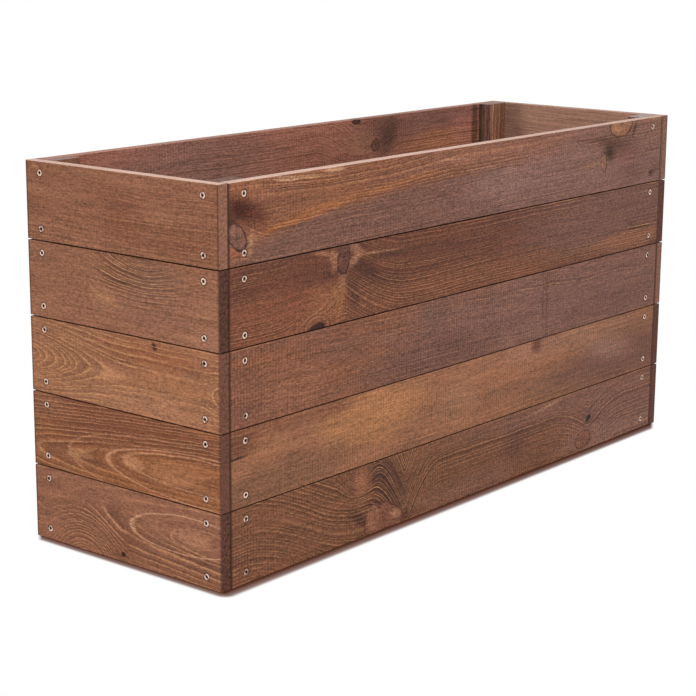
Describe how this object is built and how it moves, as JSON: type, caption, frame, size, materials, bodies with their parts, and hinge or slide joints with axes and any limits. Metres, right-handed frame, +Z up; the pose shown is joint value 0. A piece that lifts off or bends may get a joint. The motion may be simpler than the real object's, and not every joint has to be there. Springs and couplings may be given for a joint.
{
  "type": "planter box",
  "caption": "Rectangular wooden planter box of planed, brown stained boards screwed to inside corner posts, open at the top, with a slatted floor.",
  "frame": {"origin": "on the ground under the middle of the box", "axes": "+X along the long walls, +Y towards the back wall, +Z up"},
  "size_m": [1, 0.326, 0.4873],
  "materials": {
    "long_boards": "planed softwood under a walnut brown stain, matt",
    "end_boards": "planed softwood under a walnut brown stain, matt",
    "corner_posts": "planed softwood under a walnut brown stain, matt",
    "floor_timber": "planed softwood under a walnut brown stain, matt",
    "zinc_screws": "yellow zinc plated"
  },
  "bodies": {
    "root": {"back_board_1": "long_boards", "back_board_2": "long_boards", "back_board_3": "long_boards", "back_board_4": "long_boards", "back_board_5": "long_boards", "back_ledger": "floor_timber", "back_wall_screws": "zinc_screws", "corner_post_back_left": "corner_posts", "corner_post_back_right": "corner_posts", "corner_post_front_left": "corner_posts", "corner_post_front_right": "corner_posts", "floor_slat_1": "floor_timber", "floor_slat_10": "floor_timber", "floor_slat_2": "floor_timber", "floor_slat_3": "floor_timber", "floor_slat_4": "floor_timber", "floor_slat_5": "floor_timber", "floor_slat_6": "floor_timber", "floor_slat_7": "floor_timber", "floor_slat_8": "floor_timber", "floor_slat_9": "floor_timber", "front_board_1": "long_boards", "front_board_2": "long_boards", "front_board_3": "long_boards", "front_board_4": "long_boards", "front_board_5": "long_boards", "front_ledger": "floor_timber", "front_wall_screws": "zinc_screws", "ledger_screws": "zinc_screws", "left_end_board_1": "end_boards", "left_end_board_2": "end_boards", "left_end_board_3": "end_boards", "left_end_board_4": "end_boards", "left_end_board_5": "end_boards", "left_end_screws": "zinc_screws", "right_end_board_1": "end_boards", "right_end_board_2": "end_boards", "right_end_board_3": "end_boards", "right_end_board_4": "end_boards", "right_end_board_5": "end_boards", "right_end_screws": "zinc_screws", "slat_screws": "zinc_screws"}
  },
  "joints": []
}
